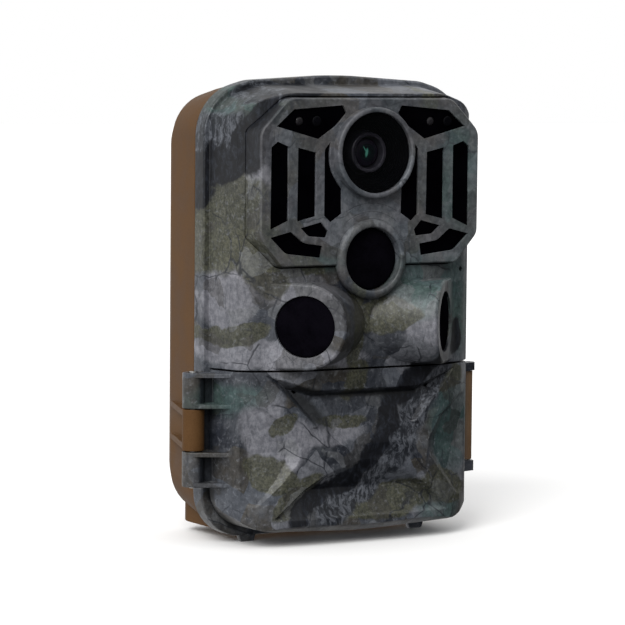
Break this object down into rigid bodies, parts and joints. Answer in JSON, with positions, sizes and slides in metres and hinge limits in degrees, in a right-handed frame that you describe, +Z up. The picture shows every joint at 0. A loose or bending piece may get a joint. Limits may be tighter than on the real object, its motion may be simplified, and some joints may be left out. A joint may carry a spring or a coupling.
{
  "type": "trail camera",
  "caption": "Trail camera with an infrared grille, three motion sensors, a hinged front door, a side latch and a battery tray that slides out of the base.",
  "frame": {"origin": "middle of the base plane, at the centre of the camera's outline seen from above", "axes": "+X to the right of someone who faces the front, +Y towards the back, +Z up"},
  "size_m": [0.1042, 0.074, 0.1396],
  "materials": {
    "camouflage": "satin, printed all over with a bark and leaf camouflage",
    "brown_plastic": "fine texture",
    "black_window": "polished, passes infrared",
    "clear_glass": "clear",
    "lens_glass": "coated",
    "signal_lamp": "clear",
    "black_plastic": "satin",
    "grey_metal": "turned",
    "grey_rubber": "matte",
    "grey_plastic": "satin",
    "blue_plastic": "satin",
    "black_rubber": "matte",
    "board": "coated board",
    "cell_sleeve": "gloss sleeve over a steel can",
    "steel": "plated",
    "brass_insert": "turned"
  },
  "bodies": {
    "camera": {"front_shell": "camouflage", "rear_case": "brown_plastic", "grille_panel": "camouflage", "infrared_window_left": "black_window", "infrared_window_right": "black_window", "signal_lamp_left": "signal_lamp", "signal_lamp_right": "signal_lamp", "light_sensor_left": "black_window", "light_sensor_right": "black_window", "infrared_lamps_left": "board", "infrared_lamps_right": "board", "lens_ring": "camouflage", "lens_cover": "clear_glass", "lens_shroud": "black_plastic", "lens_barrel": "grey_metal", "lens_element": "lens_glass", "sensor_board": "board", "motion_ring_center": "camouflage", "motion_window_center": "black_window", "motion_window_left": "black_window", "motion_window_right": "black_window", "motion_sensor_center": "steel", "motion_sensor_left": "steel", "motion_sensor_right": "steel", "hinge_pin": "steel", "control_deck": "black_plastic", "display_screen": "black_window", "usb_socket": "steel", "main_board": "board", "microphone": "steel", "case_gasket": "black_rubber", "door_gasket": "black_rubber", "case_screw_1": "steel", "case_screw_2": "steel", "case_screw_3": "steel", "case_screw_4": "steel", "tripod_insert": "brass_insert"},
    "door": {"door_cover": "camouflage", "latch_pin": "steel"},
    "latch": {"latch_lever": "brown_plastic"},
    "tray": {"battery_tray": "brown_plastic", "battery_1": "cell_sleeve", "battery_2": "cell_sleeve", "battery_3": "cell_sleeve", "battery_4": "cell_sleeve", "battery_5": "cell_sleeve", "battery_6": "cell_sleeve", "battery_7": "cell_sleeve", "battery_8": "cell_sleeve"},
    "menu_key": {"key_menu": "grey_rubber"},
    "ok_key": {"key_ok": "grey_rubber"},
    "up_key": {"key_up": "grey_rubber"},
    "down_key": {"key_down": "grey_rubber"},
    "mode_key": {"key_mode": "grey_rubber"},
    "replay_key": {"key_replay": "grey_rubber"},
    "switch": {"power_switch": "grey_plastic"},
    "card": {"memory_card": "blue_plastic"},
    "cut_filter": {"infrared_cut_filter": "lens_glass"}
  },
  "joints": [
    {"name": "door_hinge", "type": "hinge", "parent": "camera", "child": "door", "pos_m": [-0.0488, -0.005, 0.035], "axis": [0, 0, -1], "range_deg": [0, 115]},
    {"name": "latch_turn", "type": "hinge", "parent": "door", "child": "latch", "pos_m": [0.0469, -0.006, 0.035], "axis": [0, 0, -1], "range_deg": [0, 70]},
    {"name": "tray_slide", "type": "slide", "parent": "camera", "child": "tray", "axis": [0, 0, -1], "range_m": [0, 0.058]},
    {"name": "menu_press", "type": "slide", "parent": "camera", "child": "menu_key", "axis": [0, 1, 0], "range_m": [0, 0.0005], "stiffness_N_per_m": 400},
    {"name": "ok_press", "type": "slide", "parent": "camera", "child": "ok_key", "axis": [0, 1, 0], "range_m": [0, 0.0005], "stiffness_N_per_m": 400},
    {"name": "up_press", "type": "slide", "parent": "camera", "child": "up_key", "axis": [0, 1, 0], "range_m": [0, 0.0005], "stiffness_N_per_m": 400},
    {"name": "down_press", "type": "slide", "parent": "camera", "child": "down_key", "axis": [0, 1, 0], "range_m": [0, 0.0005], "stiffness_N_per_m": 400},
    {"name": "mode_press", "type": "slide", "parent": "camera", "child": "mode_key", "axis": [0, 1, 0], "range_m": [0, 0.0005], "stiffness_N_per_m": 400},
    {"name": "replay_press", "type": "slide", "parent": "camera", "child": "replay_key", "axis": [0, 1, 0], "range_m": [0, 0.0005], "stiffness_N_per_m": 400},
    {"name": "power_slide", "type": "slide", "parent": "camera", "child": "switch", "axis": [1, 0, 0], "range_m": [0, 0.006]},
    {"name": "card_slide", "type": "slide", "parent": "camera", "child": "card", "axis": [1, 0, 0], "range_m": [0, 0.0025]},
    {"name": "filter_shift", "type": "slide", "parent": "camera", "child": "cut_filter", "axis": [-1, 0, 0], "range_m": [0, 0.009]}
  ]
}
